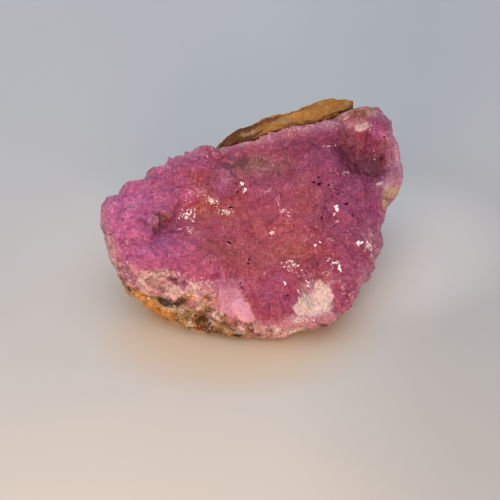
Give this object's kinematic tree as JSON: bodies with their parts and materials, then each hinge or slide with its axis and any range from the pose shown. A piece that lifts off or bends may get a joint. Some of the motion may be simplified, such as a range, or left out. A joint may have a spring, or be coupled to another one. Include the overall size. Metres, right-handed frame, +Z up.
{
  "type": "cobaltoan calcite specimen",
  "caption": "Loose mineral specimen: a crust of intergrown pink calcite crystals, broken at the edge, on a brown and ochre lump of host rock that stands on its flat underside.",
  "frame": {"origin": "middle of the flat underside's plane, under the centre of the bounding box", "axes": "+X runs along the specimen's length, to the right as the crystal face is looked at; the crystal face looks up and towards -Y; +Z up"},
  "size_m": [0.0701, 0.051, 0.0334],
  "materials": {
    "pink_calcite": "translucent waxy to glassy crystal faces, pale pink and white where broken",
    "weathered_rock": "rough, matt, brown with an ochre iron-stained skin and dark pits"
  },
  "bodies": {
    "root": {"calcite_crust": "pink_calcite", "host_rock": "weathered_rock"}
  },
  "joints": []
}
